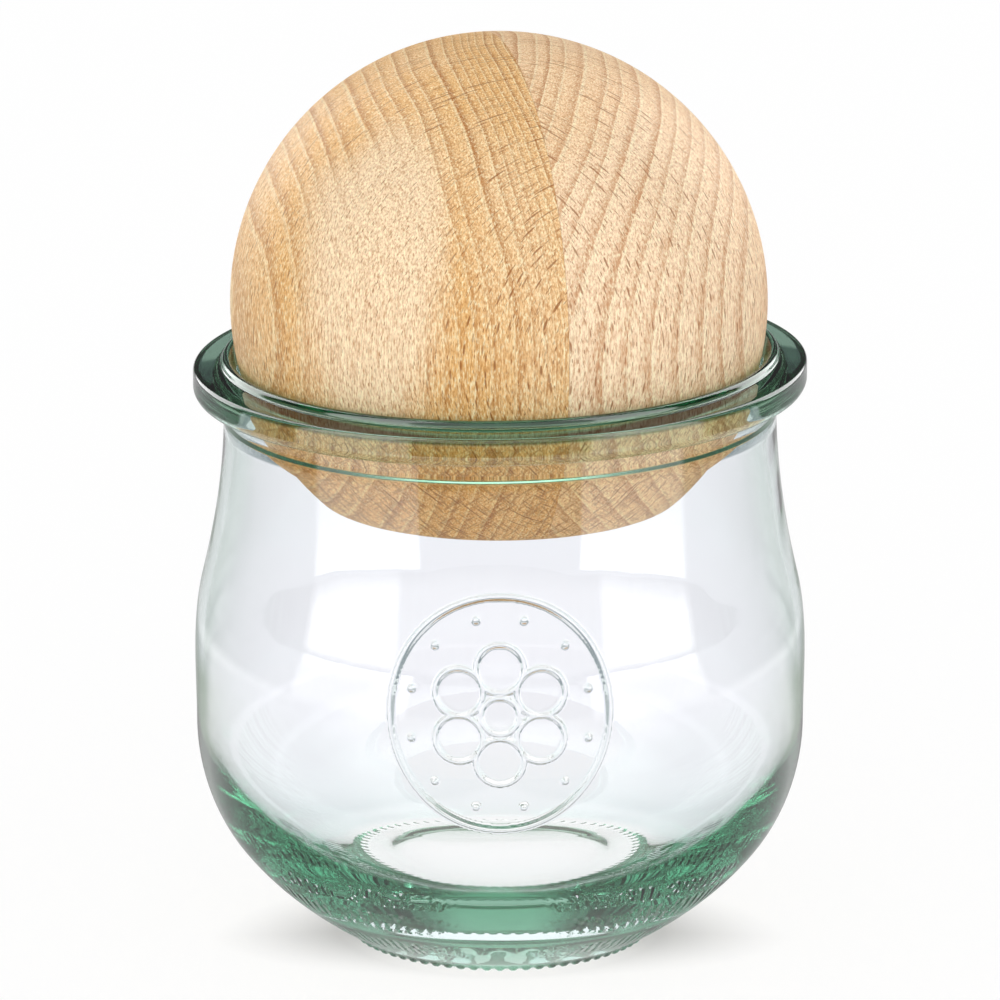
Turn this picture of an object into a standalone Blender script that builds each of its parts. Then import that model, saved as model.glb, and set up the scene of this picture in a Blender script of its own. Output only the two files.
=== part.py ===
"""Preserving jar closed by a wooden ball.

A tulip shaped glass jar with a rolled rim and a ribbed foot, and a beech ball, glued up from
two half blocks, that sits loosely in the jar's mouth. Metres, +Z up. The origin is on the jar's
axis, in the plane that the foot stands on, and the front faces -Y.
"""

from math import atan2, cos, hypot, pi, radians, sin, sqrt, tan

import bmesh
import bpy
from mathutils import Vector

# Jar, outside
JAR_HEIGHT = 0.1075
FINISH_WALL = 0.0027
NECK_DROP = 0.0100
SHOULDER_DROP = 0.0412
SHOULDER_INSET = 0.0012
BELLY_RADIUS = 0.05445
BELLY_HEIGHT = 0.0395
HEEL_INSET = 0.00735
HEEL_HEIGHT = 0.0174

# Jar, rim: an outer band, a sloping ledge, and an inner lip whose rounded inside seats the ball
RIM_OUTER_RADIUS = 0.0546
RIM_WIDTH = 0.0081
RIM_BAND_DROP = 0.0070
UNDER_RIM_FILLET = 0.0010
BAND_LOWER_ROUND = 0.0018
BAND_UPPER_DROP = 0.00255
BAND_UPPER_ROUND = 0.0008
LEDGE_SLOPE_DEGREES = 8.0
LEDGE_FILLET = 0.0005
LIP_FLANK_DEGREES = 70.0
LIP_ROUND = 0.0009
SEAT_ROUND = 0.0040
SEAT_DROP = 0.0034
RIM_SLANT_DEGREES = 0.9

# Jar, foot
FOOT_RADIUS = 0.0278
FOOT_RISE = 0.0011
RIB_COUNT = 72
RIB_DEPTH = 0.0005
RIB_LENGTH = 0.0032
RIB_END_CHAMFER = 0.0006
BEARING_WIDTH = 0.0018
FOOT_STEP = 0.0007
FOOT_STEP_RUN = 0.0005
PUSH_UP = 0.0014

# Jar, inside
BASE_THICKNESS = 0.0114
FLOOR_INSET = 0.0003
BASIN_INSET = 0.00955
BASIN_HEIGHT = 0.0210
BELLY_WALL = 0.0015
SHOULDER_WALL = 0.0019
NECK_WALL = 0.0017
FINISH_DEPTH = 0.0109
FINISH_RUN_OUT = 0.0009

# Directions of the wall at its stations, from the horizontal
FOOT_HEADING_DEGREES = 30.0
HEEL_HEADING_DEGREES = 52.0
UPRIGHT_DEGREES = 90.0
SHOULDER_HEADING_DEGREES = 103.7
FLOOR_HEADING_DEGREES = 6.0
BASIN_HEADING_DEGREES = 46.5

# Wooden ball
BALL_OVERSIZE = 0.0012
BALL_FLAT_INSET = 0.0157
BALL_EDGE_ROUND = 0.0024
SEAT_CLEARANCE = 0.0003
GLUE_LINE = 0.0003
GLUE_PLANE_DEGREES = 14.8
QUARTER_TURN_DEGREES = 90.0

# Steps of the curves
WALL_STEP_COUNT = RIB_COUNT
FOOT_STEP_COUNT = 2 * RIB_COUNT
HEEL_CURVE_COUNT = 5
BELLY_CURVE_COUNT = 4
SHOULDER_CURVE_COUNT = 4
NECK_CURVE_COUNT = 3
FLOOR_CURVE_COUNT = 5
FILLET_CURVE_COUNT = 3
CORNER_CURVE_COUNT = 3
LIP_CURVE_COUNT = 5
SEAT_CURVE_COUNT = 5
BALL_STEP_COUNT = 30
BALL_CURVE_COUNT = 19
BALL_EDGE_CURVE_COUNT = 3
MERGE_SHARE = 0.0001
SMOOTH_BELOW_DEGREES = 40.0

# Worked out from the sizes above
BORE_RADIUS = RIM_OUTER_RADIUS - RIM_WIDTH
SEAT_CENTRE_RADIUS = BORE_RADIUS + SEAT_ROUND
SEAT_CENTRE_HEIGHT = JAR_HEIGHT - SEAT_DROP
NECK_OUTER_RADIUS = BORE_RADIUS + FINISH_WALL
FLOOR_RADIUS = FOOT_RADIUS - FLOOR_INSET
BASIN_RADIUS = BELLY_RADIUS - BASIN_INSET
FINISH_BOTTOM = JAR_HEIGHT - FINISH_DEPTH
RIB_ROOT_RADIUS = FOOT_RADIUS - RIB_LENGTH
RIB_CREST_RADIUS = FOOT_RADIUS - RIB_END_CHAMFER
BALL_RADIUS = BORE_RADIUS + BALL_OVERSIZE
BALL_FLAT_RADIUS = BALL_RADIUS - BALL_FLAT_INSET
BALL_RISE = sqrt((BALL_RADIUS + SEAT_CLEARANCE + SEAT_ROUND) ** 2 - SEAT_CENTRE_RADIUS ** 2)
BALL_HEIGHT = SEAT_CENTRE_HEIGHT + BALL_RISE
BALL_OFFSET = BALL_RISE * sin(radians(RIM_SLANT_DEGREES))
MERGE_DISTANCE = MERGE_SHARE * SEAT_ROUND


def clear_scene():
    """Remove whatever the file holds, so that the script can be run again."""
    for old in list(bpy.data.objects):
        bpy.data.objects.remove(old, do_unlink=True)


def finish(name, colour, roughness, transmission=0.0, ior=1.5):
    """A material for one sub-part."""
    material = bpy.data.materials.new(name)
    material.use_nodes = True
    shader = material.node_tree.nodes["Principled BSDF"]
    shader.inputs["Base Color"].default_value = (*colour, 1.0)
    shader.inputs["Roughness"].default_value = roughness
    shader.inputs["Metallic"].default_value = 0.0
    shader.inputs["Transmission Weight"].default_value = transmission
    shader.inputs["IOR"].default_value = ior
    return material


def arc(centre, radius, start, end, count):
    """Points on a circle in the (radius, height) plane, both ends included."""
    return [
        (
            centre[0] + radius * cos(start + (end - start) * i / count),
            centre[1] + radius * sin(start + (end - start) * i / count),
        )
        for i in range(count + 1)
    ]


def stretch(start, end, count):
    """Points of a smooth wall between two stations, without the first one.

    A station is (radius, height, heading), with the heading in degrees from the horizontal.
    """
    chord = hypot(end[0] - start[0], end[1] - start[1])
    points = []
    for i in range(1, count + 1):
        t = i / count
        from_start = 2 * t ** 3 - 3 * t ** 2 + 1
        leave = (t ** 3 - 2 * t ** 2 + t) * chord
        arrive = (t ** 3 - t ** 2) * chord
        radius = from_start * start[0] + (1 - from_start) * end[0]
        height = from_start * start[1] + (1 - from_start) * end[1]
        radius += leave * cos(radians(start[2])) + arrive * cos(radians(end[2]))
        height += leave * sin(radians(start[2])) + arrive * sin(radians(end[2]))
        points.append((radius, height))
    return points


def through(stations, counts):
    """The whole smooth wall through a list of stations."""
    points = [stations[0][:2]]
    for start, end, count in zip(stations, stations[1:], counts):
        points += stretch(start, end, count)
    return points


def inside(station, wall):
    """The station on the inner side of the wall, one wall thickness away."""
    radius, height, heading = station
    return (
        radius - wall * sin(radians(heading)),
        height + wall * cos(radians(heading)),
        heading,
    )


def wall_stations():
    """Where the outer wall passes, from the foot to the neck."""
    foot = (FOOT_RADIUS, FOOT_RISE, FOOT_HEADING_DEGREES)
    heel = (BELLY_RADIUS - HEEL_INSET, HEEL_HEIGHT, HEEL_HEADING_DEGREES)
    belly = (BELLY_RADIUS, BELLY_HEIGHT, UPRIGHT_DEGREES)
    shoulder = (BELLY_RADIUS - SHOULDER_INSET, JAR_HEIGHT - SHOULDER_DROP, SHOULDER_HEADING_DEGREES)
    neck = (NECK_OUTER_RADIUS, JAR_HEIGHT - NECK_DROP, UPRIGHT_DEGREES)
    return foot, heel, belly, shoulder, neck


def foot_outline():
    """Underside, from the axis out over the bearing ring to the outer end of the ribs."""
    bearing_inner = RIB_ROOT_RADIUS - BEARING_WIDTH
    step_radius = bearing_inner - FOOT_STEP_RUN
    return [
        (0.0, PUSH_UP),
        (step_radius / 2, PUSH_UP - (PUSH_UP - FOOT_STEP) / 4),
        (step_radius, FOOT_STEP),
        (bearing_inner, 0.0),
        (RIB_ROOT_RADIUS, 0.0),
        (RIB_CREST_RADIUS, 0.0),
        (FOOT_RADIUS, FOOT_RISE),
    ]


def line_crossing(first, second):
    """Where two lines (point, heading in radians) of the outline cross."""
    (x1, y1), heading1 = first
    (x2, y2), heading2 = second
    across = (x2 - x1) * sin(heading2) - (y2 - y1) * cos(heading2)
    along = across / sin(heading2 - heading1)
    return x1 + along * cos(heading1), y1 + along * sin(heading1)


def rim_outline():
    """Under the rim, up its outer band, over the ledge and the lip, and down the seat to the bore."""
    ledge = radians(LEDGE_SLOPE_DEGREES)
    flank = radians(LIP_FLANK_DEGREES)
    underside = JAR_HEIGHT - RIM_BAND_DROP
    fillet = arc(
        (NECK_OUTER_RADIUS + UNDER_RIM_FILLET, underside - UNDER_RIM_FILLET),
        UNDER_RIM_FILLET, pi, pi / 2, FILLET_CURVE_COUNT,
    )
    lower = arc(
        (RIM_OUTER_RADIUS - BAND_LOWER_ROUND, underside + BAND_LOWER_ROUND),
        BAND_LOWER_ROUND, -pi / 2, 0.0, CORNER_CURVE_COUNT,
    )
    upper = arc(
        (RIM_OUTER_RADIUS - BAND_UPPER_ROUND, JAR_HEIGHT - BAND_UPPER_DROP),
        BAND_UPPER_ROUND, 0.0, pi / 2 - ledge, CORNER_CURVE_COUNT,
    )
    # The lip's round top touches the seat's round from inside
    reach = SEAT_ROUND - LIP_ROUND
    lip_height = JAR_HEIGHT - LIP_ROUND
    back = -sqrt(reach ** 2 - (lip_height - SEAT_CENTRE_HEIGHT) ** 2)
    lip_centre = (SEAT_CENTRE_RADIUS + back, lip_height)
    meet = atan2(lip_height - SEAT_CENTRE_HEIGHT, back)
    lip = arc(lip_centre, LIP_ROUND, pi / 2 - flank, meet, LIP_CURVE_COUNT)
    seat = arc(
        (SEAT_CENTRE_RADIUS, SEAT_CENTRE_HEIGHT), SEAT_ROUND, meet, pi, SEAT_CURVE_COUNT
    )
    # The fillet between the ledge and the lip's flank has its centre a fillet away from both
    ledge_line = (
        (upper[-1][0] + LEDGE_FILLET * sin(ledge), upper[-1][1] + LEDGE_FILLET * cos(ledge)),
        pi - ledge,
    )
    flank_line = (
        (lip[0][0] + LEDGE_FILLET * sin(flank), lip[0][1] + LEDGE_FILLET * cos(flank)),
        pi - flank,
    )
    corner = arc(
        line_crossing(ledge_line, flank_line),
        LEDGE_FILLET, -pi / 2 - ledge, -pi / 2 - flank, FILLET_CURVE_COUNT,
    )
    return fillet + lower + upper + corner + lip + seat[1:]


def wall_outline():
    """From the heel up the outside, over the rim, and down the inside to the floor's centre."""
    foot, heel, belly, shoulder, neck = wall_stations()
    outside = through(
        (foot, heel, belly, shoulder, neck),
        (HEEL_CURVE_COUNT, BELLY_CURVE_COUNT, SHOULDER_CURVE_COUNT, NECK_CURVE_COUNT),
    )
    neck_inside = (
        NECK_OUTER_RADIUS - NECK_WALL, FINISH_BOTTOM - FINISH_RUN_OUT, UPRIGHT_DEGREES
    )
    lining = through(
        (
            (FLOOR_RADIUS, BASE_THICKNESS, FLOOR_HEADING_DEGREES),
            (BASIN_RADIUS, BASIN_HEIGHT, BASIN_HEADING_DEGREES),
            inside(belly, BELLY_WALL),
            inside(shoulder, SHOULDER_WALL),
            neck_inside,
        ),
        (FLOOR_CURVE_COUNT, BELLY_CURVE_COUNT, SHOULDER_CURVE_COUNT, NECK_CURVE_COUNT),
    )
    throat = (BORE_RADIUS, FINISH_BOTTOM)
    return outside[1:] + rim_outline() + [throat] + lining[::-1] + [(0.0, BASE_THICKNESS)]


def turned(mesh, outline, steps, sweep):
    """Spin an outline of (radius, height) points about Z with Blender's spin tool."""
    verts = [mesh.verts.new((radius, 0.0, height)) for radius, height in outline]
    edges = [mesh.edges.new(pair) for pair in zip(verts, verts[1:])]
    bmesh.ops.spin(
        mesh, geom=verts + edges, cent=Vector(), axis=Vector((0, 0, 1)), angle=sweep, steps=steps
    )
    bmesh.ops.remove_doubles(mesh, verts=mesh.verts, dist=MERGE_DISTANCE)


def cut_ribs(mesh):
    """Press the valleys between the ribs into the outer part of the bearing ring."""
    step_angle = 2 * pi / FOOT_STEP_COUNT
    for vert in mesh.verts:
        radius = hypot(vert.co.x, vert.co.y)
        on_crest = abs(radius - RIB_CREST_RADIUS) < MERGE_DISTANCE and vert.co.z < FOOT_RISE / 2
        if on_crest and round(atan2(vert.co.y, vert.co.x) / step_angle) % 2:
            vert.co.z += RIB_DEPTH


def slant_rim(mesh):
    """Lift the mouth a little towards +X; the slant eases in between the shoulder and the neck."""
    start = JAR_HEIGHT - SHOULDER_DROP
    end = FINISH_BOTTOM
    for vert in mesh.verts:
        share = min(1.0, max(0.0, (vert.co.z - start) / (end - start)))
        ease = share ** 2 * (3 - 2 * share)
        vert.co.z += vert.co.x * ease * tan(radians(RIM_SLANT_DEGREES))


def open_loop(mesh, height):
    """The edges of the open boundary that lies at one height."""
    return [
        edge
        for edge in mesh.edges
        if edge.is_boundary and all(abs(v.co.z - height) < MERGE_DISTANCE for v in edge.verts)
    ]


def to_object(mesh, name, material):
    """Turn a closed bmesh into a smooth shaded object."""
    bmesh.ops.recalc_face_normals(mesh, faces=mesh.faces)
    data = bpy.data.meshes.new(name)
    mesh.to_mesh(data)
    mesh.free()
    data.shade_smooth()
    data.set_sharp_from_angle(angle=radians(SMOOTH_BELOW_DEGREES))
    data.materials.append(material)
    piece = bpy.data.objects.new(name, data)
    bpy.context.scene.collection.objects.link(piece)
    return piece


def build_jar():
    """The jar in one piece of glass: foot and wall are spun apart and bridged at the heel."""
    mesh = bmesh.new()
    foot = foot_outline()
    wall = wall_outline()
    turned(mesh, foot, FOOT_STEP_COUNT, 2 * pi)
    cut_ribs(mesh)
    turned(mesh, wall, WALL_STEP_COUNT, 2 * pi)
    bmesh.ops.bridge_loops(mesh, edges=open_loop(mesh, foot[-1][1]) + open_loop(mesh, wall[0][1]))
    slant_rim(mesh)
    glass = finish("glass_jar", (0.78, 0.90, 0.84), 0.02, transmission=1.0, ior=1.52)
    return to_object(mesh, "glass_jar", glass)


def ball_outline():
    """The ball's outline about its own centre, from the top down to the middle of its flat."""
    flat_height = -sqrt(BALL_RADIUS ** 2 - BALL_FLAT_RADIUS ** 2)
    edge_height = flat_height + BALL_EDGE_ROUND
    edge_radius = sqrt((BALL_RADIUS - BALL_EDGE_ROUND) ** 2 - edge_height ** 2)
    meet = atan2(edge_height, edge_radius)
    ball = arc((0.0, 0.0), BALL_RADIUS, pi / 2, meet, BALL_CURVE_COUNT)
    edge = arc((edge_radius, edge_height), BALL_EDGE_ROUND, meet, -pi / 2, BALL_EDGE_CURVE_COUNT)
    ball[0] = (0.0, BALL_RADIUS)
    return ball + edge[1:] + [(edge_radius / 2, flat_height), (0.0, flat_height)]


def build_half(name, colour, side_degrees, carrier):
    """One half block of the ball. Its glued face looks along the local -Y axis."""
    mesh = bmesh.new()
    turned(mesh, ball_outline(), BALL_STEP_COUNT, pi)
    glued = [vert for vert in mesh.verts if abs(vert.co.y) < MERGE_DISTANCE]
    for vert in glued:
        vert.co.y = GLUE_LINE / 2
    rim = [edge for edge in mesh.edges if edge.is_boundary]
    bmesh.ops.contextual_create(mesh, geom=rim)
    piece = to_object(mesh, name, finish(name, colour, 0.55))
    piece.parent = carrier
    piece.rotation_euler = (0.0, 0.0, radians(side_degrees))
    return piece


def build_ball():
    """The two half blocks on one empty at the ball's centre, a little off the jar's axis."""
    carrier = bpy.data.objects.new("ball_lift_axis", None)
    carrier.location = (-BALL_OFFSET, 0.0, BALL_HEIGHT)
    carrier.empty_display_size = BALL_RADIUS
    bpy.context.scene.collection.objects.link(carrier)
    facing_right = GLUE_PLANE_DEGREES - QUARTER_TURN_DEGREES
    facing_left = GLUE_PLANE_DEGREES + QUARTER_TURN_DEGREES
    build_half("ball_right_half", (0.82, 0.60, 0.38), facing_right, carrier)
    build_half("ball_left_half", (0.70, 0.46, 0.23), facing_left, carrier)


def main():
    clear_scene()
    build_jar()
    build_ball()
    bpy.context.view_layer.update()


main()
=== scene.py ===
"""Looks of the preserving jar with its wooden ball: glass, beech, floor, light and camera."""

from math import atan2, cos, hypot, pi, radians, sin, sqrt, tan

import bpy
import numpy as np
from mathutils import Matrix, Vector


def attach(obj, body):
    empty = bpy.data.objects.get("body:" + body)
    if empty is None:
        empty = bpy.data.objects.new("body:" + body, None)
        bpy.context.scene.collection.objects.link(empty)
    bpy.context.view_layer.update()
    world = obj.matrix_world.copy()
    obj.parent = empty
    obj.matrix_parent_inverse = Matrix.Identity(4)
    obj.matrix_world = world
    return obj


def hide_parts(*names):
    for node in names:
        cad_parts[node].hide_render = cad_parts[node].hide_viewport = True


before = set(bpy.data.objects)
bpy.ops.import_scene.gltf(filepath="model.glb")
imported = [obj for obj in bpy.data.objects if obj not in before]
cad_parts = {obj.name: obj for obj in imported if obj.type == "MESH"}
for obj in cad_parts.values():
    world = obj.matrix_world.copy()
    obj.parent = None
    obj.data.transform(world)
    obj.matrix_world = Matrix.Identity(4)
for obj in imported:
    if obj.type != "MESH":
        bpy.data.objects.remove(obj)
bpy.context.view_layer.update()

# Jar, outside, in metres, the same sizes as the solid's
JAR_HEIGHT = 0.1075
FINISH_WALL = 0.0027
NECK_DROP = 0.0100
SHOULDER_DROP = 0.0412
SHOULDER_INSET = 0.0012
BELLY_RADIUS = 0.05445
BELLY_HEIGHT = 0.0395
HEEL_INSET = 0.00735
HEEL_HEIGHT = 0.0174

# Jar, rim: an outer band, a sloping ledge, and an inner lip whose rounded inside seats the ball
RIM_OUTER_RADIUS = 0.0546
RIM_WIDTH = 0.0081
RIM_BAND_DROP = 0.0070
UNDER_RIM_FILLET = 0.0010
BAND_LOWER_ROUND = 0.0018
BAND_UPPER_DROP = 0.00255
BAND_UPPER_ROUND = 0.0008
LEDGE_SLOPE = radians(8.0)
LEDGE_FILLET = 0.0005
LIP_FLANK = radians(70.0)
LIP_ROUND = 0.0009
SEAT_ROUND = 0.0040
SEAT_DROP = 0.0034
RIM_SLANT = radians(0.9)

# Jar, foot, whose step runs out further than the solid's, and whose ribs start further out
FOOT_RADIUS = 0.0278
FOOT_RISE = 0.0011
RIB_COUNT = 72
RIB_DEPTH = 0.0005
RIB_LENGTH = 0.0032
BEARING_WIDTH = 0.0018
FOOT_STEP = 0.0007
FOOT_STEP_RUN = 0.0035
PUSH_UP = 0.0014

# Jar, inside
BASE_THICKNESS = 0.0114
FLOOR_RADIUS = 0.0275
BASIN_RADIUS = 0.0449
BASIN_HEIGHT = 0.0210
BELLY_WALL = 0.0015
SHOULDER_WALL = 0.0019
NECK_WALL = 0.0017
FINISH_DEPTH = 0.0109
FINISH_RUN_OUT = 0.0009

# Headings of the wall, in degrees from the horizontal
FOOT_HEADING = 30.0
HEEL_HEADING = 52.0
UPRIGHT = 90.0
SHOULDER_HEADING = 103.7
FLOOR_HEADING = 6.0
BASIN_HEADING = 46.5

# Wooden ball, with a finer glue line than the gap between the solids
BALL_OVERSIZE = 0.0012
BALL_FLAT_RADIUS = 0.0320
BALL_EDGE_ROUND = 0.0024
SEAT_CLEARANCE = 0.0003
GLUE_PLANE = radians(14.8)
GLUE_HALF_GAP = 0.00002

BORE_RADIUS = RIM_OUTER_RADIUS - RIM_WIDTH
SEAT_CENTRE = (BORE_RADIUS + SEAT_ROUND, JAR_HEIGHT - SEAT_DROP)
NECK_OUTER_RADIUS = BORE_RADIUS + FINISH_WALL
BALL_RADIUS = BORE_RADIUS + BALL_OVERSIZE
BALL_RISE = sqrt((BALL_RADIUS + SEAT_CLEARANCE + SEAT_ROUND) ** 2 - SEAT_CENTRE[0] ** 2)
BALL_CENTRE = Vector((-BALL_RISE * sin(RIM_SLANT), 0.0, SEAT_CENTRE[1] + BALL_RISE))

# Mesh of the jar: columns round the axis, rows along the wall, and finer cells where there is relief
COLUMNS = 192
FOOT_COLUMNS = 8 * RIB_COUNT
FINE = 7
PATCH_COLUMNS = 28
WALL_ROW = 0.0017
LINING_ROW = 0.0022
ON_AXIS = 1e-7

# Rows of the rim: steps of its roundings, points inside its straight stretches
FILLET_STEPS = 6
BAND_LOWER_STEPS = 8
BAND_UPPER_STEPS = 10
LIP_STEPS = 12
FLAT_POINTS = 4

# Rows of the foot, as shares of its parts, and where along the last one the ribs start, rise and fade
PUSH_UP_ROWS = (0, 0.35, 0.7, 0.92, 1)
FOOT_STEP_ROWS = (0.3, 0.6)
RIB_ROWS = (0.2, 0.4, 0.5, 0.6, 0.7, 0.82, 0.92)
RIB_START = 0.4
RIB_RISE = 0.2
RIB_FADE_START = 0.8
RIB_FADE = 0.2
FOOT_ROUND_START = 0.7
FOOT_ROUND_RUN = 0.3
RIB_CREST = 0.35
RIB_ROUNDING = 0.8

# Rows of the lining, as shares of the throat, of its run out (first, last, count) and of the floor
THROAT_ROWS = (0.25, 0.5, 0.75, 0.93)
RUN_OUT_ROWS = (0.1, 0.9, 8)
FLOOR_ROWS = (0.8, 0.6, 0.4, 0.2, 0.0)


def arc(centre, radius, start, end, count):
    """Points on a circle in the (radius, height) plane, both ends included."""
    return [
        (centre[0] + radius * cos(a), centre[1] + radius * sin(a))
        for a in np.linspace(start, end, count + 1)
    ]


def stretch(start, end, count):
    """Points of a smooth wall between two stations (radius, height, heading), without the first."""
    chord = hypot(end[0] - start[0], end[1] - start[1])
    points = []
    for t in np.linspace(0, 1, count + 1)[1:]:
        stay = 2 * t ** 3 - 3 * t ** 2 + 1
        leave = (t ** 3 - 2 * t ** 2 + t) * chord
        arrive = (t ** 3 - t ** 2) * chord
        points.append((
            stay * start[0] + (1 - stay) * end[0]
            + leave * cos(radians(start[2])) + arrive * cos(radians(end[2])),
            stay * start[1] + (1 - stay) * end[1]
            + leave * sin(radians(start[2])) + arrive * sin(radians(end[2])),
        ))
    return points


def through(stations, step):
    """The smooth wall through a list of stations, in steps of about one length."""
    points = [stations[0][:2]]
    for start, end in zip(stations, stations[1:]):
        chord = hypot(end[0] - start[0], end[1] - start[1])
        points += stretch(start, end, max(2, round(chord / step)))
    return points


def inside(station, wall):
    """The station on the inner side of the wall."""
    radius, height, heading = station
    return (
        radius - wall * sin(radians(heading)),
        height + wall * cos(radians(heading)),
        heading,
    )


def stations():
    """Where the outer wall passes, from the foot to the neck."""
    return (
        (FOOT_RADIUS, FOOT_RISE, FOOT_HEADING),
        (BELLY_RADIUS - HEEL_INSET, HEEL_HEIGHT, HEEL_HEADING),
        (BELLY_RADIUS, BELLY_HEIGHT, UPRIGHT),
        (BELLY_RADIUS - SHOULDER_INSET, JAR_HEIGHT - SHOULDER_DROP, SHOULDER_HEADING),
        (NECK_OUTER_RADIUS, JAR_HEIGHT - NECK_DROP, UPRIGHT),
    )


def foot_outline():
    """Underside from the axis to the foot's outer edge, each point with its share of rib depth."""
    bearing_inner = FOOT_RADIUS - RIB_LENGTH - BEARING_WIDTH
    step = bearing_inner - FOOT_STEP_RUN
    points = [(step * s, PUSH_UP - (PUSH_UP - FOOT_STEP) * s * s, 0.0) for s in PUSH_UP_ROWS]
    points += [(step + FOOT_STEP_RUN * s, FOOT_STEP * (1 - s) ** 2, 0.0) for s in FOOT_STEP_ROWS]
    points += [(bearing_inner, 0.0, 0.0), (FOOT_RADIUS - RIB_LENGTH, 0.0, 0.0)]
    for s in RIB_ROWS:
        rise = FOOT_RISE * max(0.0, (s - FOOT_ROUND_START) / FOOT_ROUND_RUN) ** 2
        depth = max(0.0, min(1.0, (s - RIB_START) / RIB_RISE))
        if s >= RIB_FADE_START:
            depth *= (1 - s) / RIB_FADE
        points.append((FOOT_RADIUS - RIB_LENGTH * (1 - s), rise, depth))
    return points + [(FOOT_RADIUS, FOOT_RISE, 0.0)]


def line_crossing(first, second):
    """Where two lines (point, heading in radians) of the outline cross."""
    (x1, y1), heading1 = first
    (x2, y2), heading2 = second
    across = (x2 - x1) * sin(heading2) - (y2 - y1) * cos(heading2)
    along = across / sin(heading2 - heading1)
    return x1 + along * cos(heading1), y1 + along * sin(heading1)


def rim_outline():
    """Under the rim, up its outer band, over the ledge and the lip, and down the seat to the bore."""
    underside = JAR_HEIGHT - RIM_BAND_DROP
    fillet = arc(
        (NECK_OUTER_RADIUS + UNDER_RIM_FILLET, underside - UNDER_RIM_FILLET),
        UNDER_RIM_FILLET, pi, pi / 2, FILLET_STEPS
    )
    lower = arc(
        (RIM_OUTER_RADIUS - BAND_LOWER_ROUND, underside + BAND_LOWER_ROUND),
        BAND_LOWER_ROUND, -pi / 2, 0.0, BAND_LOWER_STEPS
    )
    upper = arc(
        (RIM_OUTER_RADIUS - BAND_UPPER_ROUND, JAR_HEIGHT - BAND_UPPER_DROP),
        BAND_UPPER_ROUND, 0.0, pi / 2 - LEDGE_SLOPE, BAND_UPPER_STEPS
    )
    reach = SEAT_ROUND - LIP_ROUND
    lip_height = JAR_HEIGHT - LIP_ROUND
    back = -sqrt(reach ** 2 - (lip_height - SEAT_CENTRE[1]) ** 2)
    meet = atan2(lip_height - SEAT_CENTRE[1], back)
    lip = arc((SEAT_CENTRE[0] + back, lip_height), LIP_ROUND, pi / 2 - LIP_FLANK, meet, LIP_STEPS)
    seat = arc(SEAT_CENTRE, SEAT_ROUND, meet, pi, LIP_STEPS)

    def off_fillet(point, slope):
        """The line on which the middle of the ledge's fillet lies, beside a straight flank from a point."""
        return (point[0] + LEDGE_FILLET * sin(slope), point[1] + LEDGE_FILLET * cos(slope)), pi - slope

    corner = arc(
        line_crossing(off_fillet(upper[-1], LEDGE_SLOPE), off_fillet(lip[0], LIP_FLANK)),
        LEDGE_FILLET, -pi / 2 - LEDGE_SLOPE, -pi / 2 - LIP_FLANK, FILLET_STEPS
    )

    def between(start, end):
        """Points inside a straight stretch, so that its shading stays flat."""
        return [
            (start[0] + (end[0] - start[0]) * s, start[1] + (end[1] - start[1]) * s)
            for s in np.linspace(0, 1, FLAT_POINTS + 2)[1:-1]
        ]

    return (
        fillet + between(fillet[-1], lower[0]) + lower + between(lower[-1], upper[0])
        + upper + between(upper[-1], corner[0]) + corner + lip + seat[1:]
    )


def lining_outline():
    """Down the inside: the throat, its run out, the neck, belly and heel, and the floor."""
    belly, shoulder = stations()[2:4]
    bottom = JAR_HEIGHT - FINISH_DEPTH
    neck_in = (NECK_OUTER_RADIUS - NECK_WALL, bottom - FINISH_RUN_OUT, UPRIGHT)
    top = SEAT_CENTRE[1]
    throat = [(BORE_RADIUS, top + (bottom - top) * s) for s in THROAT_ROWS]
    run = neck_in[0] - BORE_RADIUS
    for s in np.linspace(*RUN_OUT_ROWS):
        ease = s * s * (3 - 2 * s)
        throat.append((BORE_RADIUS + run * ease, bottom - FINISH_RUN_OUT * s))
    lining = through(
        (
            (FLOOR_RADIUS, BASE_THICKNESS, FLOOR_HEADING),
            (BASIN_RADIUS, BASIN_HEIGHT, BASIN_HEADING),
            inside(belly, BELLY_WALL),
            inside(shoulder, SHOULDER_WALL),
            neck_in,
        ),
        LINING_ROW,
    )
    floor = [(FLOOR_RADIUS * s, BASE_THICKNESS) for s in FLOOR_ROWS]
    return throat + lining[::-1] + floor


# Medallion pressed into the front wall: an oval frame with a flower, an eye ring and dots
MEDALLION_HEIGHT = 0.0560
MEDALLION_HALF_WIDTH = 0.0194
MEDALLION_HALF_HEIGHT = 0.0206
RIDGE_WIDTH = 0.0012
RIDGE_HEIGHT = 0.0008
PETAL_COUNT = 6
PETAL_RADIUS = 0.0042
PETAL_DISTANCE = 0.0082
EYE_RADIUS = 0.0033
DOT_RADIUS = 0.0007
DOT_COUNT = 12
DOT_RING_SHARE = 0.83
FLOWER_WIDTH = RIDGE_WIDTH * 0.8
PETAL_HEIGHT = RIDGE_HEIGHT * 0.9
EYE_HEIGHT = RIDGE_HEIGHT * 0.8


def ridge(distance, width, height):
    """Height of a rounded ridge at a distance from its middle line."""
    return height * np.sqrt(np.clip(1 - (2 * distance / width) ** 2, 0, 1))


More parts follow.
